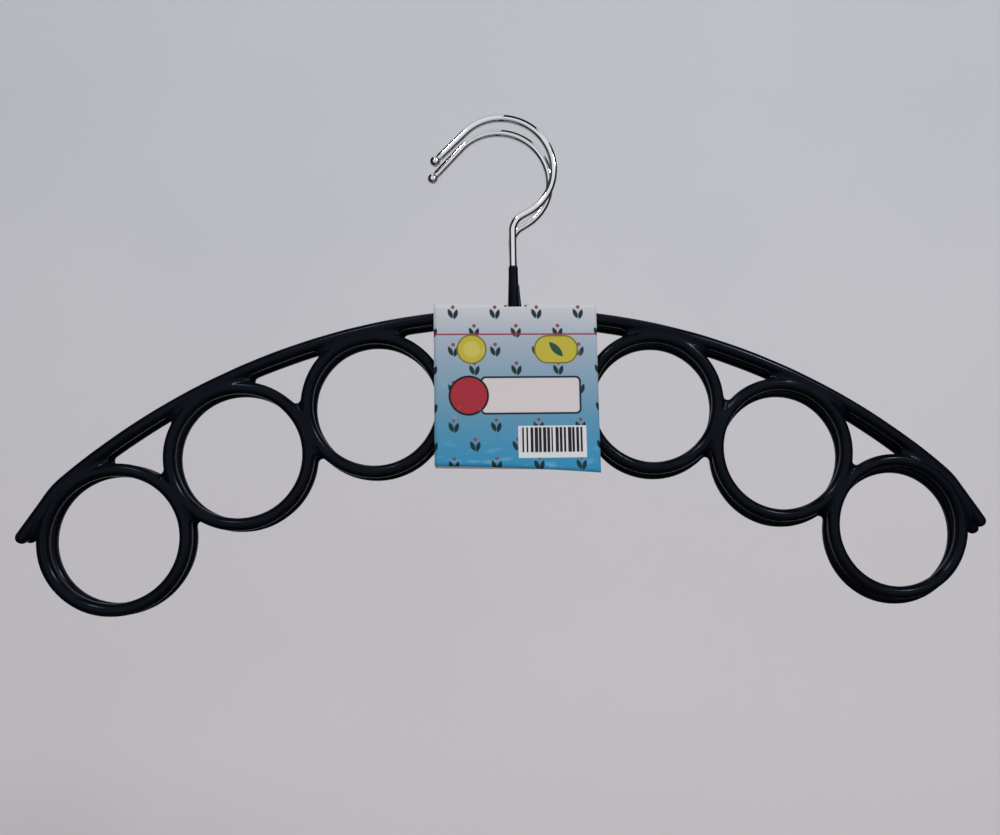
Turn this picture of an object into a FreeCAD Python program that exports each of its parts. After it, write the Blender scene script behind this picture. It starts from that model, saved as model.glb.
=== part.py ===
import FreeCAD, Part
import math
import os
from FreeCAD import Vector

# Two coated wire scarf hangers held together by a folded card.
# Millimetres, +Z up, front towards -Y, origin on the seat of the front hook.

# Wire and coating
CORE = 3.0              # steel wire of rails and rings, diameter
COAT = 1.45             # soft plastic over the wire, thickness
WELD_GAP = 0.15         # play between two wires that the weld fills
WELD_R = 1.25           # radius of a spot weld

# Rail and rings
RAIL_R = 302.0          # radius of the arched rail, wire centre
RING_R = 30.45          # radius of a ring, wire centre
RING_COUNT = 7
END_TURN = 16.0         # angle the rail turns round the end ring, degrees
END_LEN = 20.0          # straight end of the rail

# Hook and sleeve
HOOK_D = 3.4            # chromed wire, diameter
HOOK_R = 24.2           # radius of the crook, wire centre
HOOK_X = -4.4           # crook centre to the left of the stem
HOOK_H = 69.4           # crook centre over the rail
NECK_ANGLE = -61.0      # where the crook ends and runs to the neck, degrees
NECK_R = 8.5            # bend at the neck
LEAD_ANGLE = 135.0      # where the crook ends and runs straight to its tip
LEAD_LEN = 20.0
TIP_D = 4.7             # ball at the end of the crook
SLEEVE_TOP = 22.4       # top of the front sleeve over its rail centre
SLEEVE_TOP_D = 4.3
SLEEVE_FOOT_D = 5.6
SLEEVE_FIT = 0.05       # sleeve to stem, radial

# Place of the back hanger
PLY_GAP = 0.4           # air between the two coated hangers
BACK_DROP = 1.8         # the back hanger hangs lower by this
BACK_SHIFT = 1.2        # and to the right by this
BACK_TILT = -0.45       # and its right end hangs lower, degrees
BACK_STEM = 0.7         # its hook stands to the right of its middle by this
BACK_SINK = 2.3         # and lower on its rail by this
BACK_LEAN = 3.1         # and leans to the left, degrees
BACK_SLEEVE = 17.0      # top of its sleeve over its rail centre

# Card
CARD_T = 0.6
CARD_W = 74.2
CARD_X = 0.3            # card middle to the right of the front stem
CARD_DROP = 74.5        # height of a panel below its crease
CARD_PLAY = 1.6         # panel to coating
CARD_LIFT = 0.2         # spine to the top of the front rail
CREASE_GAP = 0.3        # spine to the rounded top of a panel
SLOT_L = 10.4           # slot along the rail
SLOT_DIP = 1.1          # slot down the front panel from its crease
SLOT_PLAY = 0.5         # end of the slot to the back sleeve

COATED = CORE + 2.0 * COAT
TOUCH = CORE + WELD_GAP
RING_ORBIT = RAIL_R - TOUCH - RING_R
RING_STEP = 2.0 * math.degrees(math.asin((2.0 * RING_R + TOUCH) / 2.0 / RING_ORBIT))
HOOK_IN = HOOK_R - HOOK_D / 2.0
RAIL_Z = -(HOOK_H + math.sqrt(HOOK_IN ** 2 - HOOK_X ** 2))
PLY = COATED + PLY_GAP
STEM_Z = RAIL_Z + CORE / 2.0 + WELD_GAP
TURN = Vector(0, -1, 0)


def polar(cx, cz, radius, angle):
    a = math.radians(angle)
    return Vector(cx + radius * math.cos(a), 0, cz + radius * math.sin(a))


def arc_tube(cx, cz, radius, start, end, r):
    a = math.radians(start)
    along = Vector(-math.sin(a), 0, math.cos(a))
    ring = Part.Circle(polar(cx, cz, radius, start), along, r)
    face = Part.Face(Part.Wire(ring.toShape()))
    return face.revolve(Vector(cx, 0, cz), TURN, end - start)


def line_tube(p, q, r):
    return Part.makeCylinder(r, (q - p).Length, p, q - p)


def joined(shapes):
    body = shapes[0].fuse(shapes[1:]).removeSplitter()
    return body.Solids[0] if len(body.Solids) == 1 else body


def ring_angle(k):
    return 90.0 + (4 - k) * RING_STEP


def ring_centre(k):
    return polar(0, RAIL_Z - RAIL_R, RING_ORBIT, ring_angle(k))


def rail(r, rounded):
    sweep = 3 * RING_STEP
    hub = ring_centre(7)
    bend = RING_R + TOUCH
    stop = 90.0 - sweep - END_TURN
    parts = [arc_tube(0, RAIL_Z - RAIL_R, RAIL_R, 90.0 - sweep, 90.0 + sweep, r)]
    half = [arc_tube(hub.x, hub.z, bend, 90.0 - sweep, stop, r)]
    foot = polar(hub.x, hub.z, bend, stop)
    a = math.radians(stop)
    tip = foot + Vector(math.sin(a), 0, -math.cos(a)) * END_LEN
    half.append(line_tube(foot, tip, r))
    if rounded:
        half.append(Part.makeSphere(r, tip))
    parts += half
    parts += [h.mirror(Vector(0, 0, 0), Vector(1, 0, 0)) for h in half]
    return joined(parts)


def ring(k, r):
    return Part.makeTorus(RING_R, r, ring_centre(k), Vector(0, 1, 0))


def hook(sink):
    r = HOOK_D / 2.0
    cz = RAIL_Z + HOOK_H - sink
    end = polar(HOOK_X, cz, HOOK_R, NECK_ANGLE)
    a = math.radians(NECK_ANGLE)
    down = Vector(math.sin(a), 0, -math.cos(a))
    corner = end + down * (end.x / -down.x)
    half_turn = math.acos(-down.z) / 2.0
    cut = NECK_R * math.tan(half_turn)
    bend_z = corner.z - cut
    bend_end = math.degrees(2.0 * half_turn)
    top = polar(HOOK_X, cz, HOOK_R, LEAD_ANGLE)
    b = math.radians(LEAD_ANGLE)
    tip = top + Vector(-math.sin(b), 0, math.cos(b)) * LEAD_LEN
    return joined([
        line_tube(Vector(0, 0, STEM_Z), Vector(0, 0, bend_z), r),
        arc_tube(NECK_R, bend_z, NECK_R, 180.0, 180.0 - bend_end, r),
        line_tube(corner - down * cut, end, r),
        arc_tube(HOOK_X, cz, HOOK_R, NECK_ANGLE, LEAD_ANGLE, r),
        line_tube(top, tip, r),
        Part.makeSphere(TIP_D / 2.0, tip)])


def sleeve(height):
    foot = Vector(0, 0, RAIL_Z)
    cone = Part.makeCone(SLEEVE_FOOT_D / 2.0, SLEEVE_TOP_D / 2.0, height, foot, Vector(0, 0, 1))
    bore = Part.makeCylinder(HOOK_D / 2.0 + SLEEVE_FIT, 2.0 * height, foot, Vector(0, 0, 1))
    return cone.cut(bore)


def turned(shape, angle, move):
    copy = shape.copy()
    copy.rotate(Vector(0, 0, RAIL_Z), TURN, angle)
    copy.translate(move)
    return copy


def bead_at(spot, one, two):
    return Part.makeSphere(WELD_R, spot).cut(one).cut(two).Solids


def rail_bead(k, rail_wire, wires):
    spot = polar(0, RAIL_Z - RAIL_R, RAIL_R - TOUCH / 2.0, ring_angle(k))
    return bead_at(spot, rail_wire, wires[k])


def side_bead(k, wires):
    spot = (ring_centre(k) + ring_centre(k + 1)) * 0.5
    return bead_at(spot, wires[k], wires[k + 1])


def wire_frame():
    full = range(1, RING_COUNT + 1)
    rail_wire = rail(CORE / 2.0, False)
    rail_skin = rail(COATED / 2.0, True)
    wires = {k: ring(k, CORE / 2.0) for k in full}
    skins = {k: ring(k, COATED / 2.0) for k in full}
    up = {k: rail_bead(k, rail_wire, wires) for k in full}
    side = {k: side_bead(k, wires) for k in full[:-1]}
    coat = rail_skin.cut(rail_wire)
    for k in full:
        for solid in [wires[k]] + up[k]:
            coat = coat.cut(solid)
    nodes = {"rail_wire": rail_wire, "rail_coating": coat}
    for k in full:
        nodes["ring_wire_%d" % k] = wires[k]
        coat = skins[k].cut(wires[k]).cut(rail_skin)
        if k > 1:
            coat = coat.cut(skins[k - 1])
        if k < RING_COUNT:
            coat = coat.cut(wires[k + 1])
        for bead in up[k] + side.get(k - 1, []) + side.get(k, []):
            coat = coat.cut(bead)
        nodes["ring_coating_%d" % k] = coat
    beads = sum(up.values(), []) + sum(side.values(), [])
    return nodes, beads, rail_skin


def hanger(name, frame, cover, stand, sink, lean, tilt, place):
    shared, beads, rail_skin = frame
    nodes = dict(shared)
    aside = Vector(stand, 0, 0)
    stem = turned(hook(sink), lean, aside)
    spot = Vector(stand, 0, STEM_Z - WELD_GAP / 2.0)
    foot = bead_at(spot, nodes["rail_wire"], stem)
    coat = nodes["rail_coating"].cut(stem)
    for bead in foot:
        coat = coat.cut(bead)
    nodes["rail_coating"] = coat
    nodes["welds"] = Part.makeCompound(beads + foot)
    nodes["hook"] = stem
    nodes["sleeve"] = turned(sleeve(cover), lean, aside).cut(rail_skin)
    return {name + "_" + node: turned(shape, tilt, place) for node, shape in nodes.items()}


def card():
    top = RAIL_Z + COATED / 2.0 + CARD_LIFT
    front = -COATED / 2.0 - CARD_PLAY
    back = PLY + COATED / 2.0 + CARD_PLAY
    left = CARD_X - CARD_W / 2.0
    lip = CREASE_GAP
    r = CARD_T / 2.0
    axis_z = top + r
    face = front - CARD_T
    slot_w = PLY + SLEEVE_FOOT_D / 2.0 + SLOT_PLAY - face
    corner = Vector(CARD_X - SLOT_L / 2.0, face, axis_z - SLOT_DIP)
    slot = Part.makeBox(SLOT_L, slot_w, SLOT_DIP + CARD_T, corner)
    spine = Part.makeBox(CARD_W, back - front - 2.0 * lip, CARD_T, Vector(left, front + lip, top))
    nodes = {"card_spine": spine.cut(slot)}
    for node, y in (("card_front_panel", face), ("card_back_panel", back)):
        sheet = Part.makeBox(CARD_W, CARD_T, CARD_DROP, Vector(left, y, axis_z - CARD_DROP))
        crease = Part.makeCylinder(r, CARD_W, Vector(left, y + r, axis_z), Vector(1, 0, 0))
        nodes[node] = joined([sheet, crease]).cut(slot)
    return nodes


def main():
    os.makedirs("parts", exist_ok=True)
    frame = wire_frame()
    nodes = hanger("front", frame, SLEEVE_TOP, 0.0, 0.0, 0.0, 0.0, Vector(0, 0, 0))
    back = Vector(BACK_SHIFT, PLY, -BACK_DROP)
    nodes.update(hanger("back", frame, BACK_SLEEVE, BACK_STEM, BACK_SINK, BACK_LEAN, BACK_TILT, back))
    nodes.update(card())
    for node, shape in nodes.items():
        if not shape.isValid():
            raise ValueError("bad shape: " + node)
        shape.exportStep("parts/" + node + ".step")
        solids = len(shape.Solids)
        print(node, "solids", solids, "volume", round(shape.Volume, 2))


main()
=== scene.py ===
# %% [markdown]
# # A pair of coated wire scarf hangers
#
# Two like hangers lie one behind the other, tied by a folded printed card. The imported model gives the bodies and
# joints, and this file dresses them: a dipped plastic coat over each wire frame, bright plated hooks, and a card
# with its print. Everything is in metres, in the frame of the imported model: X along the rail, Z up, front to -Y.

# %% Load the frame
import math

import bmesh
import bpy
from mathutils import Matrix, Vector, noise


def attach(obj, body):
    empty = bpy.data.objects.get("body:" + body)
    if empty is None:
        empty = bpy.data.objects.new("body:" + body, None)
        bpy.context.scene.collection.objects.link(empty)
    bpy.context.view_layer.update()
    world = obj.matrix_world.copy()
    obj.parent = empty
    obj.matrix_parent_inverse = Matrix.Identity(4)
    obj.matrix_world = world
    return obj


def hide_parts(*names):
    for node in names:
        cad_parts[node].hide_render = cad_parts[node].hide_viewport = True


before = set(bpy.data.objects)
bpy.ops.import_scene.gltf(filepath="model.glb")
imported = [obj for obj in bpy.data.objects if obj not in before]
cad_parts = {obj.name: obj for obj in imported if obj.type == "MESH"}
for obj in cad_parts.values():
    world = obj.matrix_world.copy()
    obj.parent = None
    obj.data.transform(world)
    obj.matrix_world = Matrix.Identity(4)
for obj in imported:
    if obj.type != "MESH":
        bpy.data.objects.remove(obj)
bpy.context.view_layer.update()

scene = bpy.context.scene
scene.view_settings.view_transform = "Standard"

# %% [markdown]
# ## Sizes
#
# The shapes below are worked out in millimetres, as on a drawing, from the sizes that the solids have too. They
# could be read off the boxes of the solids, but a box does not tell the radius of a bend. A mesh is brought to
# metres only when it becomes an object, so the numbers stay easy to read.

# %% Sizes of the hangers
MM = 0.001
CORE = 3.0              # steel wire of rail and rings, diameter
COATED = 5.9            # the same with its coat
WELD_GAP = 0.15         # between two wires, filled by the weld
TOUCH = CORE + WELD_GAP
RAIL_R = 302.0          # radius of the arched rail, wire centre
RING_R = 30.45          # radius of a ring, wire centre
RINGS = range(1, 8)
MIDDLE_RING = 4
LAST_RING = 7
END_TURN = 16.0         # the rail turns this far round an end ring, degrees
END_LEN = 20.0          # and then runs straight
HOOK_D = 3.4            # plated wire, diameter
HOOK_R = 24.2           # radius of the crook, wire centre
HOOK_X = -4.4           # crook centre, seen from the stem
HOOK_H = 69.4           # crook centre over the rail
NECK_ANGLE = -61.0      # where the crook runs to the neck, degrees
NECK_R = 8.5
LEAD_ANGLE = 135.0      # where the crook runs straight to its tip, degrees
LEAD_LEN = 20.0
TIP_D = 4.7             # ball at the tip
PLY = COATED + 0.4      # from one hanger to the other
FRONT = {"side": "front", "place": (0.0, 0.0, 0.0), "tilt": 0.0, "stem": 0.0, "sink": 0.0, "lean": 0.0,
         "sleeve": 22.4}
BACK = {"side": "back", "place": (1.2, PLY, -1.8), "tilt": -0.45, "stem": 0.7, "sink": 2.3, "lean": 3.1,
        "sleeve": 17.0}

RING_ORBIT = RAIL_R - TOUCH - RING_R
RING_STEP = 2 * math.degrees(math.asin((2 * RING_R + TOUCH) / 2 / RING_ORBIT))
RAIL_Z = -(HOOK_H + math.sqrt((HOOK_R - HOOK_D / 2) ** 2 - HOOK_X ** 2))
print("rail crown at z", round(RAIL_Z, 2), "mm, ring step", round(RING_STEP, 3), "degrees")

# %% Where a hanger and its hook stand


def swing(angle):
    crown = Matrix.Translation((0, 0, RAIL_Z))
    return crown @ Matrix.Rotation(math.radians(-angle), 4, "Y") @ crown.inverted()


def frame_place(hanger):
    return Matrix.Scale(MM, 4) @ Matrix.Translation(hanger["place"]) @ swing(hanger["tilt"])


def stem_place(hanger):
    return frame_place(hanger) @ Matrix.Translation((hanger["stem"], 0, 0)) @ swing(hanger["lean"])


print("back hanger moved by", [round(c, 2) for c in BACK["place"]], "mm")

# %% [markdown]
# ## The camera
#
# The photograph looks almost straight at the face of the pack, a little from below and from the left. A camera can
# be set by eye, but then every shape is judged against a wrong view. So its place was found by matching the ring
# holes and the rail, and it is written here as three turns and a distance.

# %% Camera
LENS_PX = 800.75        # focal length, in pixels of the picture
FRAME_PX = 1000         # width of the picture
SENSOR_MM = 36.0
NEAR_M = 0.01
TILT = (-0.0879, -0.0579, -0.0094)
SHIFT = Vector((6.051, -47.092, 375.543))
turn = (Matrix.Rotation(TILT[2], 3, "Z") @ Matrix.Rotation(TILT[1], 3, "Y") @ Matrix.Rotation(TILT[0], 3, "X"))
eye = -(turn.transposed() @ SHIFT)


def to_row(v):
    return Vector((v.x, v.z, -v.y))


camera = bpy.data.objects.new("camera", bpy.data.cameras.new("camera"))
scene.collection.objects.link(camera)
camera.data.sensor_width = SENSOR_MM
camera.data.lens = LENS_PX / FRAME_PX * SENSOR_MM
camera.data.clip_start = NEAR_M
axes = Matrix((to_row(turn[0]), -to_row(turn[1]), -to_row(turn[2]))).transposed()
place = (to_row(eye) + Vector((0, PLY, RAIL_Z))) * MM
camera.matrix_world = Matrix.Translation(place) @ axes.to_4x4()
scene.camera = camera
print("camera at", [round(c, 3) for c in place])

# %% [markdown]
# ## Helpers for materials and pieces
#
# Colours are written as on a colour chart, in sRGB hex, and one function turns them to the linear values that the
# renderer wants. One more function adds a node with its settings, ramp stops and links, so a material reads as a
# list of steps. The last one hands a finished mesh to the body that it moves with.

# %% Helpers for materials
FACTOR, UNDER, OVER, BLENDED = 0, 6, 7, 2   # sockets of a Mix node that blends colours
NOISE_LOW, NOISE_HIGH = 0.3, 0.7            # most of a noise lies between these


def hex_colour(code):
    parts = [int(code[i:i + 2], 16) / 255 for i in (1, 3, 5)]
    return [c / 12.92 if c <= 0.04045 else ((c + 0.055) / 1.055) ** 2.4 for c in parts] + [1.0]


def add(tree, kind, inputs, stops=(), **settings):
    new = tree.nodes.new(kind)
    for name, value in settings.items():
        setattr(new, name, value)
    if stops:
        ramp = new.color_ramp.elements
        for element, (position, code) in ((ramp[0], stops[0]), (ramp[1], stops[-1])):
            element.position, element.color = position, hex_colour(code)
        for position, code in stops[1:-1]:
            ramp.new(position).color = hex_colour(code)
    for key, value in inputs.items():
        if isinstance(value, bpy.types.NodeSocket):
            tree.links.new(value, new.inputs[key])
        else:
            new.inputs[key].default_value = value
    return new.outputs


def start_material(name):
    material = bpy.data.materials.new(name)
    material.use_nodes = True
    material.node_tree.nodes.clear()
    return material, material.node_tree


def close_material(material, shader):
    add(material.node_tree, "ShaderNodeOutputMaterial", {"Surface": shader})
    print("material", material.name, len(material.node_tree.nodes), "nodes")
    return material


# %% Helpers for pieces


def closed_mesh(work, name):
    bmesh.ops.recalc_face_normals(work, faces=work.faces[:])
    mesh = bpy.data.meshes.new(name)
    work.to_mesh(mesh)
    work.free()
    return mesh


def make_piece(name, mesh, body, replaced, materials):
    piece = bpy.data.objects.new(name, mesh)
    scene.collection.objects.link(piece)
    for material in materials:
        mesh.materials.append(material)
    for face in mesh.polygons:
        face.use_smooth = True
    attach(piece, body)
    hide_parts(*replaced)
    print(name, len(mesh.vertices), "points", len(mesh.polygons), "faces")


# %% [markdown]
# ## Soft vinyl coat
#
# The frames are dipped hot in liquid vinyl, which sets to a soft glossy skin. The eye sees near black with a faint
# blue cast, small crisp highlights, and a slight orange peel where the liquid did not level out. One black with one
# gloss would look like paint. So slow noise moves the tone and the roughness, because handling polishes some
# stretches, and fine noise gives the peel. Vinyl has an IOR of about 1.53, and a low specular level keeps it as
# dark as it looks.

# %% Material: dipped vinyl
PEEL_MM = 1.6           # orange peel, crest to crest
PEEL_DEEP_MM = 0.15
CLOUD_MM = 18.0         # stretch that was polished alike
VINYL_TONES = ((0.35, "#06080B"), (0.70, "#0A0D12"))
VINYL_ROUGH = (0.15, 0.26)


def dipped_vinyl():
    material, tree = start_material("dipped_vinyl_black")
    at = add(tree, "ShaderNodeTexCoord", {})["Object"]
    cloud = add(tree, "ShaderNodeTexNoise", {"Vector": at, "Scale": 1 / (CLOUD_MM * MM), "Detail": 3.0})["Fac"]
    peel = add(tree, "ShaderNodeTexNoise", {"Vector": at, "Scale": 1 / (PEEL_MM * MM), "Detail": 2.0})["Fac"]
    tone = add(tree, "ShaderNodeValToRGB", {"Fac": cloud}, stops=VINYL_TONES)["Color"]
    gloss = add(tree, "ShaderNodeMapRange", {
        "Value": cloud, "From Min": NOISE_LOW, "From Max": NOISE_HIGH,
        "To Min": VINYL_ROUGH[0], "To Max": VINYL_ROUGH[1]})["Result"]
    bump = add(tree, "ShaderNodeBump", {
        "Height": peel, "Strength": 0.10, "Distance": PEEL_DEEP_MM * MM})["Normal"]
    shader = add(tree, "ShaderNodeBsdfPrincipled", {
        "Base Color": tone, "Roughness": gloss, "IOR": 1.53, "Specular IOR Level": 0.10,
        "Specular Tint": hex_colour("#C8D9FF"), "Normal": bump})["BSDF"]
    return close_material(material, shader)


vinyl = dipped_vinyl()

# %% [markdown]
# ## Drawn steel wire
#
# Inside the coat is plain drawn wire, spot welded. It never shows, but the solids are there and their shape is
# right, so they stay and only get a finish: the dull grey of drawn steel with faint marks left by the die.

# %% Material: drawn steel
DIE_MARK_MM = 0.4
STEEL_ROUGH = (0.32, 0.48)


def drawn_steel():
    material, tree = start_material("drawn_steel")
    at = add(tree, "ShaderNodeTexCoord", {})["Object"]
    marks = add(tree, "ShaderNodeTexNoise", {"Vector": at, "Scale": 1 / (DIE_MARK_MM * MM), "Detail": 1.0})["Fac"]
    rough = add(tree, "ShaderNodeMapRange", {
        "Value": marks, "From Min": NOISE_LOW, "From Max": NOISE_HIGH,
        "To Min": STEEL_ROUGH[0], "To Max": STEEL_ROUGH[1]})["Result"]
    shader = add(tree, "ShaderNodeBsdfPrincipled", {
        "Base Color": hex_colour("#A3A3A6"), "Metallic": 1.0, "Roughness": rough})["BSDF"]
    return close_material(material, shader)


steel = drawn_steel()
inner = [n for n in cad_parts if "_wire" in n or n.endswith("_welds")]
for name in inner:
    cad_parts[name].data.materials.clear()
    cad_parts[name].data.materials.append(steel)
print("steel on", len(inner), "inner nodes")

# %% [markdown]
# ## The coat as one skin
#
# On the real frame the liquid runs into every corner where two wires meet and sets there as a fillet, so rail and
# rings look like one casting. Separate tubes would show sharp grooves. Here thick tubes are joined by a voxel
# remesh, smoothed, and then drawn in again along their normals, which leaves rounded fillets in the corners. Slow
# noise then makes the wall a little uneven, as a dipped wall is.

# %% Lines of the wires
RAIL_PARTS = 160
BEND_PARTS = 8
END_PARTS = 6
RING_PARTS = 120


def on_circle(cx, cz, radius, angle):
    a = math.radians(angle)
    return Vector((cx + radius * math.cos(a), 0, cz + radius * math.sin(a)))


def arc(cx, cz, radius, start, end, count):
    return [on_circle(cx, cz, radius, start + (end - start) * i / count) for i in range(count + 1)]


def ring_centre(k):
    return on_circle(0, RAIL_Z - RAIL_R, RING_ORBIT, 90 + (MIDDLE_RING - k) * RING_STEP)


def ring_line(k):
    centre = ring_centre(k)
    return arc(centre.x, centre.z, RING_R, 0, 360, RING_PARTS)[:-1]


def rail_line():
    sweep = (LAST_RING - MIDDLE_RING) * RING_STEP
    hub = ring_centre(LAST_RING)
    stop = 90 - sweep - END_TURN
    bend = arc(hub.x, hub.z, RING_R + TOUCH, 90 - sweep, stop, BEND_PARTS)
    along = (bend[-1] - bend[-2]).normalized()
    half = bend[1:] + [bend[-1] + along * END_LEN * i / END_PARTS for i in range(1, END_PARTS + 1)]
    mirrored = [Vector((-p.x, 0, p.z)) for p in reversed(half)]
    return mirrored + arc(0, RAIL_Z - RAIL_R, RAIL_R, 90 + sweep, 90 - sweep, RAIL_PARTS) + half


rail_points = rail_line()
print("rail runs", round(sum((b - a).length for a, b in zip(rail_points, rail_points[1:])), 1), "mm")

# %% Thick tubes along the lines
SWELL = 1.1             # extra radius, drawn in again later
TUBE_ROUND = 5
TIP_ROUND = 3


def tube_curve(lines):
    data = bpy.data.curves.new("wire_lines", "CURVE")
    data.dimensions = "3D"
    data.bevel_depth = COATED / 2 + SWELL
    data.bevel_resolution = TUBE_ROUND
    data.use_fill_caps = True
    for points, closed in lines:
        spline = data.splines.new("POLY")
        spline.points.add(len(points) - 1)
        for target, p in zip(spline.points, points):
            target.co = (p.x, p.y, p.z, 1)
        spline.use_cyclic_u = closed
    return data


def scratch(data):
    obj = bpy.data.objects.new("scratch", data)
    scene.collection.objects.link(obj)
    return obj


def baked(obj):
    view = bpy.context.evaluated_depsgraph_get()
    mesh = bpy.data.meshes.new_from_object(obj.evaluated_get(view))
    bpy.data.objects.remove(obj)
    return mesh


def thick_tubes():
    mesh = baked(scratch(tube_curve([(rail_points, False)] + [(ring_line(k), True) for k in RINGS])))
    tips = bmesh.new()
    tips.from_mesh(mesh)
    for p in (rail_points[0], rail_points[-1]):
        bmesh.ops.create_icosphere(
            tips, subdivisions=TIP_ROUND, radius=COATED / 2 + SWELL, matrix=Matrix.Translation(p))
    tips.to_mesh(mesh)
    tips.free()
    return mesh


tubes = thick_tubes()
print("tubes", len(tubes.vertices), "points")

# %% One skin over rail and rings
VOXEL = 0.62
SMOOTH_SHARE = 0.5
SOFTEN_PASSES = 6
SETTLE_PASSES = 4
UNEVEN = 0.10           # how far the wall wanders
UNEVEN_MM = 14.0        # and over what length


def smooth(body, name, passes):
    step = body.modifiers.new(name, "SMOOTH")
    step.factor = SMOOTH_SHARE
    step.iterations = passes


def skin_mesh():
    body = scratch(tubes)
    remesh = body.modifiers.new("join", "REMESH")
    remesh.mode = "VOXEL"
    remesh.voxel_size = VOXEL
    smooth(body, "soften", SOFTEN_PASSES)
    draw_in = body.modifiers.new("draw_in", "DISPLACE")
    draw_in.strength = -SWELL
    draw_in.mid_level = 0.0
    smooth(body, "settle", SETTLE_PASSES)
    return baked(body)


def uneven(mesh):
    outward = [v.normal.copy() for v in mesh.vertices]
    for v, n in zip(mesh.vertices, outward):
        v.co += n * UNEVEN * noise.noise(v.co / UNEVEN_MM)


skin = skin_mesh()
uneven(skin)
skin.materials.clear()
for hanger in (FRONT, BACK):
    side = hanger["side"]
    mesh = skin.copy()
    mesh.transform(frame_place(hanger))
    names = [side + "_rail_coating"] + ["%s_ring_coating_%d" % (side, k) for k in RINGS]
    make_piece(side + "_coat", mesh, side + "_hanger", names, [vinyl])

# %% [markdown]
# ## Bright chrome
#
# The hooks are nickel and chrome plated wire. Plating is a mirror, so the eye sees what stands round it: a pale
# streak along the middle of the wire and a dark line at each edge. Lines that were painted on would slide when the
# view changes, so the metal is left to mirror the stage. A dark edge tint deepens the lines, and fine rubbing marks
# keep it from being perfect.

# %% Material: bright chrome
RUB_MM = 2.5
RUB_SPAN = (0.35, 0.75)
CHROME_ROUGH = (0.03, 0.11)


def bright_chrome():
    material, tree = start_material("bright_chrome")
    at = add(tree, "ShaderNodeTexCoord", {})["Object"]
    rub = add(tree, "ShaderNodeTexNoise", {"Vector": at, "Scale": 1 / (RUB_MM * MM), "Detail": 4.0})["Fac"]
    rough = add(tree, "ShaderNodeMapRange", {
        "Value": rub, "From Min": RUB_SPAN[0], "From Max": RUB_SPAN[1],
        "To Min": CHROME_ROUGH[0], "To Max": CHROME_ROUGH[1]})["Result"]
    shader = add(tree, "ShaderNodeBsdfPrincipled", {
        "Base Color": hex_colour("#F0F1F2"), "Metallic": 1.0, "Roughness": rough,
        "Specular Tint": hex_colour("#2A2B2D")})["BSDF"]
    return close_material(material, shader)


chrome = bright_chrome()

# %% [markdown]
# ## Hooks
#
# Each hook is one wire: a straight stem, a bend at the neck, the round crook and a straight lead that ends in a
# small upset ball. A bevelled curve would need the ball as a piece of its own. So a tube is swept along the line
# with a radius that is free to change, and the ball and the slight neck before it belong to the same skin.

# %% Line of a hook
STEM_STEPS = (2.4, 12, 24)      # heights of the stem's loops over the rail
NECK_PARTS = 10
CROOK_PARTS = 72
LEAD_PARTS = 10                 # the last two are left to the neck of the ball


def hook_line(sink):
    cz = RAIL_Z + HOOK_H - sink
    end = on_circle(HOOK_X, cz, HOOK_R, NECK_ANGLE)
    a = math.radians(NECK_ANGLE)
    down = Vector((math.sin(a), 0, -math.cos(a)))
    corner = end + down * (end.x / -down.x)
    half_turn = math.acos(-down.z) / 2
    bend_z = corner.z - NECK_R * math.tan(half_turn)
    top = on_circle(HOOK_X, cz, HOOK_R, LEAD_ANGLE)
    b = math.radians(LEAD_ANGLE)
    lead = Vector((-math.sin(b), 0, math.cos(b)))
    stem = [Vector((0, 0, RAIL_Z + height)) for height in STEM_STEPS]
    neck = arc(NECK_R, bend_z, NECK_R, 180, 180 - math.degrees(2 * half_turn), NECK_PARTS)
    crook = arc(HOOK_X, cz, HOOK_R, NECK_ANGLE, LEAD_ANGLE, CROOK_PARTS)
    straight = [top + lead * LEAD_LEN * i / LEAD_PARTS for i in range(1, LEAD_PARTS - 1)]
    return stem + neck + crook + straight, top + lead * LEAD_LEN, lead


print("a hook's line has", len(hook_line(0.0)[0]), "points before its ball")

# %% Hook meshes
SIDES = 24
TIP_NECK = ((-1.6, 1.0), (-0.9, 0.93), (-0.3, 0.87))    # mm before the ball, share of the wire's radius
NECK_SHARE = 0.86
BALL_LOOPS = 14
BALL_END = 0.985
DEPTH = Vector((0, 1, 0))


def join_loops(work, one, two):
    for j in range(SIDES):
        k = (j + 1) % SIDES
        work.faces.new((one[j], one[k], two[k], two[j]))


def swept(points, radii):
    work = bmesh.new()
    loops = []
    for i, p in enumerate(points):
        ahead = points[min(i + 1, len(points) - 1)] - points[max(i - 1, 0)]
        side = ahead.normalized().cross(DEPTH)
        turns = [2 * math.pi * j / SIDES for j in range(SIDES)]
        loops.append([work.verts.new(p + (side * math.cos(a) + DEPTH * math.sin(a)) * radii[i]) for a in turns])
    for one, two in zip(loops, loops[1:]):
        join_loops(work, one, two)
    work.faces.new(list(reversed(loops[0])))
    work.faces.new(loops[-1])
    return closed_mesh(work, "swept")


def hook_mesh(hanger):
    line, tip, lead = hook_line(hanger["sink"])
    radii = [HOOK_D / 2] * len(line)
    ball = TIP_D / 2
    neck = NECK_SHARE * HOOK_D / 2
    start = -math.sqrt(ball ** 2 - neck ** 2)
    for step, share in TIP_NECK:
        line.append(tip + lead * (start + step))
        radii.append(share * HOOK_D / 2)
    for i in range(BALL_LOOPS + 1):
        s = start + (BALL_END * ball - start) * (1 - math.cos(math.pi * i / BALL_LOOPS)) / 2
        line.append(tip + lead * s)
        radii.append(math.sqrt(ball ** 2 - s ** 2))
    mesh = swept(line, radii)
    mesh.transform(stem_place(hanger))
    return mesh


for hanger in (FRONT, BACK):
    side = hanger["side"]
    make_piece(side + "_bright_hook", hook_mesh(hanger), side + "_hanger", [side + "_hook"], [chrome])

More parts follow.
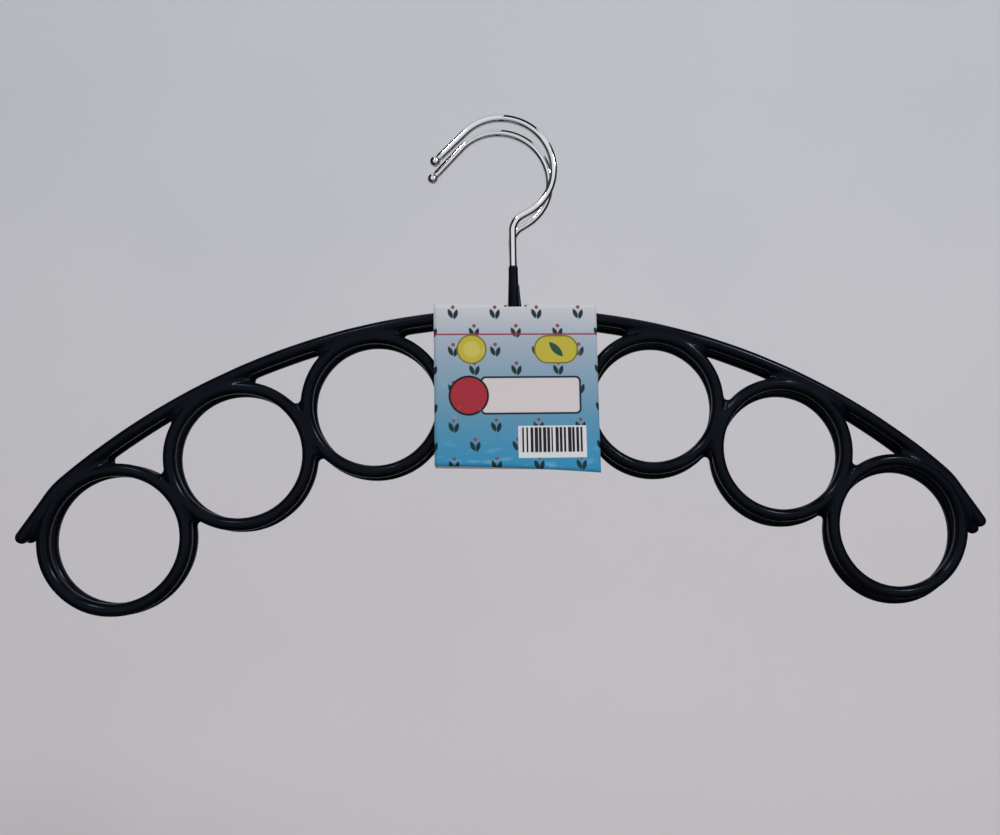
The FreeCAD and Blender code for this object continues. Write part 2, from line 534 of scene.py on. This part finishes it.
# %% [markdown]
# ## Sleeves
#
# The vinyl climbs the foot of each stem as a tapered sleeve and ends in a soft rounded rim. A plain cone would end
# in a hard edge. A profile turned about the stem gives the rim in one closed skin, with its bore a hair wider than
# the wire.

# %% Sleeve meshes
SLEEVE_FOOT = 2.55      # height over the rail
SLEEVE_BORE = 1.72      # radius
SLEEVE_WALL = ((0.0, 2.85), (0.05, 2.78), (0.22, 2.62), (0.48, 2.42), (0.73, 2.26), (0.91, 2.20))
SLEEVE_RIM = ((0.9, 2.22), (0.3, 2.14), (0.0, 1.98), (0.0, 1.78), (0.8, SLEEVE_BORE))


def sleeve_profile(top):
    wall = [(SLEEVE_FOOT + share * (top - SLEEVE_FOOT), r) for share, r in SLEEVE_WALL]
    rim = [(top - below, r) for below, r in SLEEVE_RIM]
    return wall + rim + [(SLEEVE_FOOT, SLEEVE_BORE)]


def sleeve_mesh(hanger):
    work = bmesh.new()
    loops = []
    for z, r in sleeve_profile(hanger["sleeve"]):
        middle = Vector((0, 0, RAIL_Z + z))
        loops.append([work.verts.new(on_circle(0, 0, r, 360 * j / SIDES).xzy + middle) for j in range(SIDES)])
    for one, two in zip(loops, loops[1:] + loops[:1]):
        join_loops(work, one, two)
    mesh = closed_mesh(work, "sleeve")
    mesh.transform(stem_place(hanger))
    return mesh


for hanger in (FRONT, BACK):
    side = hanger["side"]
    make_piece(side + "_stem_sleeve", sleeve_mesh(hanger), side + "_hanger", [side + "_sleeve"], [vinyl])

# %% [markdown]
# ## Print of the card
#
# The wrapper is white board, clay coated on its print side. Outside it carries a pale sky that deepens to blue
# water, a thin red rule, a bare white label with a dark outline, a red disc, two plain yellow badges, a panel of
# bars and small scattered sprigs. A picture file could hold all that, but shapes that are drawn from distances in
# millimetres stay crisp at any size. Every shape is a box with round corners: a disc is a box that is all corner,
# and a leaf is where two discs overlap.

# %% Print: flat shapes
CARD_W = 74.2
CARD_DROP = 74.5        # height of a panel
CARD_X = 0.3
CARD_T = 0.6
CARD_LIFT = 0.2         # spine to the rail
CARD_PLAY = 1.6         # panel to the coat
CARD_TOP = RAIL_Z + COATED / 2 + CARD_LIFT + CARD_T / 2
CARD_FRONT = -COATED / 2 - CARD_PLAY - CARD_T / 2
CARD_BACK = PLY + COATED / 2 + CARD_PLAY + CARD_T / 2
EDGE_MM = 0.16          # half the width of a soft printed edge
ANY_DEPTH = 1000.0
RULE_LEN = CARD_W + 2   # runs out over both sides
LABEL = [               # centre, size, corner radius and colour, from the lowest layer up
    ((0.0, -13.8), (RULE_LEN, 0.7), 0.2, "#88293F"),
    ((6.4, -41.7), (45.6, 17.4), 2.4, "#18202E"),
    ((6.4, -41.7), (43.8, 15.6), 1.7, "#C6BFBF"),
    ((-21.6, -41.7), (18.2, 18.2), 9.1, "#140D13"),
    ((-21.6, -41.7), (16.3, 16.3), 8.1, "#9A2A36"),
    ((-20.1, -20.6), (13.6, 13.6), 6.8, "#6F6726"),
    ((-20.1, -20.6), (12.2, 12.2), 6.1, "#B3A538"),
    ((-20.1, -20.6), (7.4, 7.4), 3.7, "#BDB056"),
    ((18.2, -20.8), (20.2, 13.2), 6.4, "#6F6726"),
    ((18.2, -20.8), (18.8, 11.8), 5.7, "#B1A53A"),
    ((15.7, -62.8), (30.7, 14.4), 0.3, "#CDCCCD")]


def inside(tree, at, centre, size, corner):
    half = (size[0] / 2 - corner, size[1] / 2 - corner, ANY_DEPTH)
    middle = (centre[0], centre[1], 0)
    off = add(tree, "ShaderNodeVectorMath", {0: at, 1: middle}, operation="SUBTRACT")["Vector"]
    out = add(tree, "ShaderNodeVectorMath", {0: off}, operation="ABSOLUTE")["Vector"]
    over = add(tree, "ShaderNodeVectorMath", {0: out, 1: half}, operation="SUBTRACT")["Vector"]
    past = add(tree, "ShaderNodeVectorMath", {0: over, 1: (0, 0, 0)}, operation="MAXIMUM")["Vector"]
    far = add(tree, "ShaderNodeVectorMath", {0: past}, operation="LENGTH")["Value"]
    return add(tree, "ShaderNodeMapRange", {
        "Value": far, "From Min": corner - EDGE_MM, "From Max": corner + EDGE_MM,
        "To Min": 1.0, "To Max": 0.0})["Result"]


def printed(tree, at, below, shapes):
    for centre, size, corner, code in shapes:
        layers = {FACTOR: inside(tree, at, centre, size, corner), UNDER: below, OVER: hex_colour(code)}
        below = add(tree, "ShaderNodeMix", layers, data_type="RGBA")[BLENDED]
    return below


def card_place(tree):
    raw = add(tree, "ShaderNodeTexCoord", {})["Object"]
    split = add(tree, "ShaderNodeSeparateXYZ", {"Vector": raw})
    flat = add(tree, "ShaderNodeCombineXYZ", {"X": split["X"], "Y": split["Z"]})["Vector"]
    scaled = add(tree, "ShaderNodeVectorMath", {0: flat, "Scale": 1 / MM}, operation="SCALE")["Vector"]
    shift = (-CARD_X, -CARD_TOP, 0)
    return raw, add(tree, "ShaderNodeVectorMath", {0: scaled, 1: shift}, operation="ADD")["Vector"]


print("card is", CARD_W, "by", CARD_DROP, "mm with", len(LABEL), "flat shapes")

# %% Print: sky over water
SKY = ((0.02, "#BBBCBF"), (0.16, "#A4ACB5"), (0.24, "#97A3B1"), (0.40, "#829AAB"), (0.70, "#578AA5"),
       (0.86, "#3F87A9"), (0.98, "#2F83AA"))
RIPPLE_MM = 9.0
RIPPLE_FLAT = (1.0, 3.6, 1.0)   # ripples lie along the water
CREST = (0.54, 0.66)            # heights of the noise that show as crests
CREST_MOST = 0.5
WATER = (0.80, 0.95)            # where the sky ends and the water is full
CREST_COLOUR = "#6FA9C4"


def sky(tree, at):
    down = add(tree, "ShaderNodeSeparateXYZ", {"Vector": at})["Y"]
    fade = add(tree, "ShaderNodeMapRange", {"Value": down, "From Min": 0.0, "From Max": -CARD_DROP})["Result"]
    colour = add(tree, "ShaderNodeValToRGB", {"Fac": fade}, stops=SKY)["Color"]
    drawn = add(tree, "ShaderNodeVectorMath", {0: at, 1: RIPPLE_FLAT}, operation="MULTIPLY")["Vector"]
    waves = add(tree, "ShaderNodeTexNoise", {"Vector": drawn, "Scale": 1 / RIPPLE_MM, "Detail": 3.0})["Fac"]
    crest = add(tree, "ShaderNodeMapRange", {
        "Value": waves, "From Min": CREST[0], "From Max": CREST[1], "To Max": CREST_MOST})["Result"]
    low = add(tree, "ShaderNodeMapRange", {"Value": fade, "From Min": WATER[0], "From Max": WATER[1]})["Result"]
    mask = add(tree, "ShaderNodeMath", {0: crest, 1: low}, operation="MULTIPLY")["Value"]
    layers = {FACTOR: mask, UNDER: colour, OVER: hex_colour(CREST_COLOUR)}
    return add(tree, "ShaderNodeMix", layers, data_type="RGBA")[BLENDED]


print("sky has", len(SKY), "tones")

# %% Print: scattered sprigs
SPRIG_STEP = (19.0, 8.6)
LEAF_R = 3.5
LEAVES = (((-1.1, 0.0), (2.3, 1.0), "#16302B"), ((1.3, -0.3), (2.4, -0.75), "#182736"))
BERRY = ((0.1, 3.0), (1.7, 1.7), 0.85, "#86404A")


def leaf_shape(tree, at, middle, lean, radius):
    size = (2 * radius, 2 * radius)
    one = inside(tree, at, (middle[0] - lean[0], middle[1] - lean[1]), size, radius)
    two = inside(tree, at, (middle[0] + lean[0], middle[1] + lean[1]), size, radius)
    return add(tree, "ShaderNodeMath", {0: one, 1: two}, operation="MULTIPLY")["Value"]


def sprig_cell(tree, at):
    wide, high = SPRIG_STEP
    split = add(tree, "ShaderNodeSeparateXYZ", {"Vector": at})
    row = add(tree, "ShaderNodeMath", {0: split["Y"], 1: high}, operation="DIVIDE")["Value"]
    count = add(tree, "ShaderNodeMath", {0: row}, operation="FLOOR")["Value"]
    odd = add(tree, "ShaderNodeMath", {0: count, 1: 2.0}, operation="FLOORED_MODULO")["Value"]
    step = add(tree, "ShaderNodeMath", {0: odd, 1: wide / 2}, operation="MULTIPLY")["Value"]
    moved = add(tree, "ShaderNodeMath", {0: split["X"], 1: step}, operation="ADD")["Value"]
    x = add(tree, "ShaderNodeMath", {0: moved, 1: wide / 2, 2: -wide / 2}, operation="WRAP")["Value"]
    y = add(tree, "ShaderNodeMath", {0: split["Y"], 1: high, 2: 0.0}, operation="WRAP")["Value"]
    level = add(tree, "ShaderNodeMath", {0: y, 1: high / 2}, operation="SUBTRACT")["Value"]
    return add(tree, "ShaderNodeCombineXYZ", {"X": x, "Y": level})["Vector"]


def sprigs(tree, at, below):
    cell = sprig_cell(tree, at)
    for middle, lean, code in LEAVES:
        leaf = leaf_shape(tree, cell, middle, lean, LEAF_R)
        layers = {FACTOR: leaf, UNDER: below, OVER: hex_colour(code)}
        below = add(tree, "ShaderNodeMix", layers, data_type="RGBA")[BLENDED]
    return printed(tree, cell, below, [BERRY])


print("sprigs every", SPRIG_STEP, "mm")

# %% Print: bars and the leaf on the right badge
BAR_CELL = 3.75                                 # mm, two bars in each
BAR_STARTS = ((0.05, "Red"), (0.55, "Green"))   # share of a cell, and the channel that draws the width
BAR_WIDE = (0.18, 0.44)
BAR_WINDOW = ((15.7, -61.9), (28.6, 11.2), 0.2)
BAR_INK = "#1C1C1F"
BADGE_LEAF = ((18.2, -20.8), (3.9, 3.6), 7.0)
BADGE_GREEN = "#234A3A"


def bars(tree, at, below):
    across = add(tree, "ShaderNodeSeparateXYZ", {"Vector": at})["X"]
    window = inside(tree, at, *BAR_WINDOW)
    cells = add(tree, "ShaderNodeMath", {0: across, 1: BAR_CELL}, operation="DIVIDE")["Value"]
    count = add(tree, "ShaderNodeMath", {0: cells}, operation="FLOOR")["Value"]
    local = add(tree, "ShaderNodeMath", {0: cells}, operation="FRACT")["Value"]
    chance = add(tree, "ShaderNodeTexWhiteNoise", {"W": count}, noise_dimensions="1D")["Color"]
    draw = add(tree, "ShaderNodeSeparateColor", {"Color": chance})
    for start, key in BAR_STARTS:
        wide = add(tree, "ShaderNodeMapRange", {
            "Value": draw[key], "To Min": BAR_WIDE[0], "To Max": BAR_WIDE[1]})["Result"]
        stop = add(tree, "ShaderNodeMath", {0: wide, 1: start}, operation="ADD")["Value"]
        after = add(tree, "ShaderNodeMath", {0: local, 1: start}, operation="GREATER_THAN")["Value"]
        before = add(tree, "ShaderNodeMath", {0: local, 1: stop}, operation="LESS_THAN")["Value"]
        both = add(tree, "ShaderNodeMath", {0: after, 1: before}, operation="MULTIPLY")["Value"]
        mask = add(tree, "ShaderNodeMath", {0: both, 1: window}, operation="MULTIPLY")["Value"]
        layers = {FACTOR: mask, UNDER: below, OVER: hex_colour(BAR_INK)}
        below = add(tree, "ShaderNodeMix", layers, data_type="RGBA")[BLENDED]
    return below


def front_print(tree, at):
    paint = printed(tree, at, sprigs(tree, at, sky(tree, at)), LABEL)
    paint = bars(tree, at, paint)
    leaf = leaf_shape(tree, at, *BADGE_LEAF)
    layers = {FACTOR: leaf, UNDER: paint, OVER: hex_colour(BADGE_GREEN)}
    return add(tree, "ShaderNodeMix", layers, data_type="RGBA")[BLENDED]


print("bars are", BAR_WIDE[0] * BAR_CELL, "to", BAR_WIDE[1] * BAR_CELL, "mm wide")

# %% [markdown]
# ## Coated board
#
# The print side is clay coated, so it has a low gloss and its fibres hardly show. The inside is bare, rougher and a
# little warmer, with short fibres in its tone. Both sides have pale scuffs from the shop. One flat colour would
# look like plastic, so both sides share the same fibre and scuff noise, and differ in paint and roughness.

# %% Materials: printed side and bare board
FIBRE_MM = 0.9
FIBRE_DEEP_MM = 0.06
SCUFF_MM = 6.0
SCUFF_SPAN = (0.64, 0.82)       # heights of the noise that show as scuffs
SCUFF_MOST = 0.2
SCUFF_COLOUR = "#C2C2C4"
BOARD_TONES = ((0.3, "#B4B1AC"), (0.7, "#C3C1BD"))
PRINT_ROUGH = (0.40, 0.52)
BOARD_ROUGH = (0.70, 0.85)


def card_material(name, face):
    material, tree = start_material(name)
    raw, at = card_place(tree)
    fibre = add(tree, "ShaderNodeTexNoise", {"Vector": raw, "Scale": 1 / (FIBRE_MM * MM), "Detail": 3.0})["Fac"]
    scuff = add(tree, "ShaderNodeTexNoise", {"Vector": raw, "Scale": 1 / (SCUFF_MM * MM), "Detail": 5.0})["Fac"]
    if face == "front":
        paint = front_print(tree, at)
    elif face == "back":
        paint = sprigs(tree, at, sky(tree, at))
    else:
        paint = add(tree, "ShaderNodeValToRGB", {"Fac": fibre}, stops=BOARD_TONES)["Color"]
    worn = add(tree, "ShaderNodeMapRange", {
        "Value": scuff, "From Min": SCUFF_SPAN[0], "From Max": SCUFF_SPAN[1], "To Max": SCUFF_MOST})["Result"]
    layers = {FACTOR: worn, UNDER: paint, OVER: hex_colour(SCUFF_COLOUR)}
    paint = add(tree, "ShaderNodeMix", layers, data_type="RGBA")[BLENDED]
    low, high = PRINT_ROUGH if face else BOARD_ROUGH
    rough = add(tree, "ShaderNodeMapRange", {
        "Value": scuff, "From Min": NOISE_LOW, "From Max": NOISE_HIGH, "To Min": low, "To Max": high})["Result"]
    bump = add(tree, "ShaderNodeBump", {
        "Height": fibre, "Strength": 0.10, "Distance": FIBRE_DEEP_MM * MM})["Normal"]
    shader = add(tree, "ShaderNodeBsdfPrincipled", {
        "Base Color": paint, "Roughness": rough, "IOR": 1.45, "Specular IOR Level": 0.2, "Normal": bump})["BSDF"]
    return close_material(material, shader)


print_front = card_material("coated_board_print", "front")
print_back = card_material("coated_board_back_print", "back")
board = card_material("bare_board", "")

# %% [markdown]
# ## The folded card
#
# A panel is a thin closed sheet: an outer and an inner grid joined round the edge. It is flat at the crease and
# bows a little towards its free end, as card does that was bent over a round wire, and its lower edge was cut on
# the slant. The front panel has a notch at its crease, because the slot for the stems runs through there. A box
# would show as a stiff plate, and a cloth simulation is more than a stiff card needs.

# %% Panels
CELLS = 40
SHEET_HALF = 0.42 * CARD_T      # just inside the solid's two faces
EDGE_BOW = 0.35                 # the bow is this much less at the sides
SLOT_L = 10.4
NOTCH = 1.1
NOTCH_WALL = 0.08
LEAST_CELL = 0.5
FRONT_BOW = (0.6, 1.6)          # bow all over, and more to the right
BACK_BOW = (0.2, 0.3)
FRONT_HEM = (-1.3, 1.4, 2.4)    # the lower edge as a curve over the width
BACK_HEM = (-0.8, 1.6, 0.0)


def bow(u, v, lift, twist):
    return v * v * (lift * (1 - (2 * u - 1) ** 2 * EDGE_BOW) + twist * u)


def panel_columns(notch):
    columns = [CARD_W * (i / CELLS - 0.5) for i in range(CELLS + 1)]
    if notch:
        columns = [x for x in columns if abs(abs(x) - SLOT_L / 2) > LEAST_CELL]
        columns += [side * (SLOT_L / 2 + edge) for side in (-1, 1) for edge in (0.0, NOTCH_WALL)]
    return sorted(columns)


def panel_row(work, v, y, out, face, curve, hem, notch):
    row = []
    for across in panel_columns(notch):
        u = across / CARD_W + 0.5
        cut = notch if abs(across) <= SLOT_L / 2 else 0.0
        drop = max(v * (CARD_DROP + hem[0] + hem[1] * u + hem[2] * u * u), cut * (1 + v))
        depth = out * (bow(u, v, *curve) + face * SHEET_HALF)
        row.append(work.verts.new((CARD_X + across, y + depth, CARD_TOP - drop)))
    return row


def panel_mesh(y, out, curve, hem, notch):
    work = bmesh.new()
    shares = [j / CELLS for j in range(CELLS + 1)]
    outer = [panel_row(work, v, y, out, 1, curve, hem, notch) for v in shares]
    inside_grid = [panel_row(work, v, y, out, -1, curve, hem, notch) for v in shares]
    last = len(outer[0]) - 1
    for j in range(CELLS):
        for i in range(last):
            work.faces.new((outer[j][i], outer[j][i + 1], outer[j + 1][i + 1], outer[j + 1][i]))
            corners = (inside_grid[j][i], inside_grid[j + 1][i], inside_grid[j + 1][i + 1], inside_grid[j][i + 1])
            work.faces.new(corners).material_index = 1
    rim = ([(0, i) for i in range(last)] + [(j, last) for j in range(CELLS)]
           + [(CELLS, i) for i in range(last, 0, -1)] + [(j, 0) for j in range(CELLS, 0, -1)])
    for (j, i), (m, k) in zip(rim, rim[1:] + rim[:1]):
        work.faces.new((outer[j][i], inside_grid[j][i], inside_grid[m][k], outer[m][k])).material_index = 1
    mesh = closed_mesh(work, "panel")
    mesh.transform(Matrix.Scale(MM, 4))
    return mesh


front_mesh = panel_mesh(CARD_FRONT, -1, FRONT_BOW, FRONT_HEM, NOTCH)
back_mesh = panel_mesh(CARD_BACK, 1, BACK_BOW, BACK_HEM, 0.0)
make_piece("card_front_sheet", front_mesh, "card_front", ["card_front_panel"], [print_front, board])
make_piece("card_back_sheet", back_mesh, "card_back", ["card_back_panel"], [print_back, board])

# %% [markdown]
# ## The spine of the card
#
# The spine is the strip across the top, with a slot for the two stems that is open at the front crease. Its long
# edges roll over into the creases. It is drawn as one flat grid without the slot's cells and then given its wall by
# a modifier, which closes the sides of the slot too.

# %% Spine
SLOT_SIDES = (-3.3, 4.8)
SLOT_END = PLY + 3.3
SPINE_CELLS = 24
SPINE_WALL = 0.8 * CARD_T
ROLL = 0.9              # width of a rolled edge
ROLL_CELLS = 4
ROLL_DROP = 0.35


def spine_height(y):
    near = min(y - CARD_FRONT, CARD_BACK - y)
    if near >= ROLL:
        return CARD_TOP
    return CARD_TOP - ROLL_DROP * (1 - near / ROLL) ** 2


def spine_grid():
    left = CARD_X - CARD_W / 2
    rolled = [ROLL * i / ROLL_CELLS for i in range(ROLL_CELLS + 1)]
    xs = sorted([left + CARD_W * i / SPINE_CELLS for i in range(SPINE_CELLS + 1)] + list(SLOT_SIDES))
    ys = sorted([CARD_FRONT + r for r in rolled] + [CARD_BACK - r for r in rolled] + [SLOT_END])
    work = bmesh.new()
    grid = [[work.verts.new((x, y, spine_height(y))) for x in xs] for y in ys]
    for j in range(len(ys) - 1):
        for i in range(len(xs) - 1):
            if not (SLOT_SIDES[0] <= xs[i] < SLOT_SIDES[1] and ys[j] < SLOT_END):
                work.faces.new((grid[j][i], grid[j][i + 1], grid[j + 1][i + 1], grid[j + 1][i]))
    loose = [v for v in work.verts if not v.link_faces]
    bmesh.ops.delete(work, geom=loose, context="VERTS")
    mesh = bpy.data.meshes.new("spine")
    work.to_mesh(mesh)
    work.free()
    return mesh


def spine_mesh():
    mesh = spine_grid()
    mesh.materials.append(print_front)
    mesh.materials.append(board)
    flat = scratch(mesh)
    wall = flat.modifiers.new("wall", "SOLIDIFY")
    wall.thickness = SPINE_WALL
    wall.offset = 0.0
    wall.material_offset = 1
    wall.material_offset_rim = 1
    done = baked(flat)
    done.materials.clear()
    done.transform(Matrix.Scale(MM, 4))
    return done


make_piece("card_fold", spine_mesh(), "card_spine", ["card_spine"], [print_front, board])

# %% [markdown]
# ## Sheet and floor
#
# The pack hangs in front of a pale sheet, over a pale floor. The sheet shows only from its own side, so the
# back of the hangers can be looked at too. Its tone drifts from a lighter warm grey below to a cool grey above.
# That drift is painted light, standing in for the way room light falls on a wall. A slow mottle keeps it from
# being perfectly even.

# %% Sheet and floor
WALL_Y = 600.0
WALL_HALF = 1500
WALL_TOP = 1200
FLOOR_Z = -900.0
FLOOR_HALF = 4000
MOTTLE_MM = 260.0
MOTTLE_SHARE = 0.4
# painted light: between these heights the sheet's tone drifts from lighter and warmer below to cooler above
PAINTED_LIGHT_SPAN_MM = (-540, 320)          # heights between which the tone drifts
PAINTED_LIGHT_DRIFT = (-0.25, 0.75)


def plain_sheet(name, low, high, one_sided):
    material, tree = start_material(name)
    at = add(tree, "ShaderNodeTexCoord", {})["Object"]
    up = add(tree, "ShaderNodeSeparateXYZ", {"Vector": at})["Z"]
    mottle = add(tree, "ShaderNodeTexNoise", {"Vector": at, "Scale": 1 / (MOTTLE_MM * MM), "Detail": 4.0})["Fac"]
    # painted light: the tone rises from the lighter warm colour below to the cool one above, as room light falls on
    # a wall
    painted_light_rise = add(tree, "ShaderNodeMapRange", {
        "Value": up, "From Min": PAINTED_LIGHT_SPAN_MM[0] * MM, "From Max": PAINTED_LIGHT_SPAN_MM[1] * MM,
        "To Min": PAINTED_LIGHT_DRIFT[0], "To Max": PAINTED_LIGHT_DRIFT[1]})["Result"]
    mottle_and_painted_light = add(tree, "ShaderNodeMath", {0: mottle, 1: MOTTLE_SHARE, 2: painted_light_rise}, operation="MULTIPLY_ADD")["Value"]
    tones = {FACTOR: mottle_and_painted_light, UNDER: hex_colour(low), OVER: hex_colour(high)}
    tone = add(tree, "ShaderNodeMix", tones, data_type="RGBA")[BLENDED]
    shader = add(tree, "ShaderNodeBsdfPrincipled", {"Base Color": tone, "Roughness": 0.75})["BSDF"]
    if one_sided:
        clear = add(tree, "ShaderNodeBsdfTransparent", {})["BSDF"]
        behind = add(tree, "ShaderNodeNewGeometry", {})["Backfacing"]
        shader = add(tree, "ShaderNodeMixShader", {0: behind, 1: shader, 2: clear})["Shader"]
    return close_material(material, shader)


def stage_sheet(name, corners, material):
    mesh = bpy.data.meshes.new(name)
    mesh.from_pydata([tuple(c * MM for c in p) for p in corners], [], [(0, 1, 2, 3)])
    mesh.materials.append(material)
    sheet = bpy.data.objects.new(name, mesh)
    scene.collection.objects.link(sheet)
    return sheet


def upright(left, right, y, low, high):
    return [(left, y, low), (right, y, low), (right, y, high), (left, y, high)]


def level(left, right, near, far, z):
    return [(left, near, z), (right, near, z), (right, far, z), (left, far, z)]


# painted light: the sheet is painted lighter and warmer below than above; the floor stays one even tone
pale_sheet = plain_sheet("pale_sheet", "#D4CECF", "#BFC1C6", True)
pale_floor = plain_sheet("pale_floor", "#BDBBBE", "#BDBBBE", False)
stage_sheet("back_sheet", upright(-WALL_HALF, WALL_HALF, WALL_Y, FLOOR_Z, WALL_TOP), pale_sheet)
stage_sheet("floor", level(-FLOOR_HALF, FLOOR_HALF, -FLOOR_HALF, FLOOR_HALF, FLOOR_Z), pale_floor)

# %% [markdown]
# ## Dark screens
#
# In a pale room a mirror is pale all over, and a plated wire loses its outline. A photographer puts dark screens
# round it. Here they stand to the left and right, below and above, and only reflections see them. The upper one is
# in three parts, and the gaps between them break the dark line on the crook into short ones.

# %% Dark screens
FLAG_W = 420
FLAG_LOW = -420
FLAG_HIGH = 200
FLAG_BACK = 330
FLAG_OUT = -320
FLAG_TOPS = ((-FLAG_W, -122), (15, 124), (218, FLAG_W))
dark_cloth = plain_sheet("dark_cloth", "#0B0B0D", "#101012", False)


def dark_flag(name, corners):
    flag = stage_sheet(name, corners, dark_cloth)
    flag.visible_camera = False
    flag.visible_diffuse = False
    flag.visible_shadow = False
    flag.visible_transmission = False


for name, x in (("flag_left", -FLAG_W), ("flag_right", FLAG_W)):
    dark_flag(name, [(x, FLAG_BACK, FLAG_LOW), (x, FLAG_OUT, FLAG_LOW), (x, FLAG_OUT, FLAG_HIGH),
                     (x, FLAG_BACK, FLAG_HIGH)])
dark_flag("flag_low", level(-FLAG_W, FLAG_W, FLAG_BACK, FLAG_OUT, FLAG_LOW))
for i, (left, right) in enumerate(FLAG_TOPS):
    dark_flag("flag_high_%d" % i, level(left, right, FLAG_BACK, FLAG_OUT, FLAG_HIGH))
print("dark screens", 3 + len(FLAG_TOPS))

# %% [markdown]
# ## Room light
#
# The light is a soft, even room. Two small lamps in front, right and left, give the coat its crisp highlights. They
# are weak, because the room alone already shows each colour about as it is written. A wide lamp behind the sheet
# lights the floor there, for looks from the back.

# %% Room and lamps
ROOM_LEVEL = 0.84
LAMPS = (               # name, place and aim in mm, size in metres, watts
    ("lamp_right", (850, -1000, 650), (0, 0, -160), 0.18, 7.5),
    ("lamp_left", (-420, -900, 900), (0, 0, -160), 0.13, 4.0),
    ("back_lamp", (-700, 1300, 500), (0, 0, -120), 1.2, 14.0))

world = bpy.data.worlds.new("even_room")
scene.world = world
world.use_nodes = True
room = world.node_tree
room.nodes.clear()
glow = add(room, "ShaderNodeBackground", {"Color": hex_colour("#F1F3F7"), "Strength": ROOM_LEVEL})["Background"]
add(room, "ShaderNodeOutputWorld", {"Surface": glow})

for name, at, aim, size, power in LAMPS:
    data = bpy.data.lights.new(name, "AREA")
    data.size = size
    data.energy = power
    lamp = bpy.data.objects.new(name, data)
    scene.collection.objects.link(lamp)
    lamp.location = Vector(at) * MM
    lamp.rotation_euler = (Vector(aim) * MM - lamp.location).to_track_quat("-Z", "Y").to_euler()
    print(name, size, "m", power, "W")
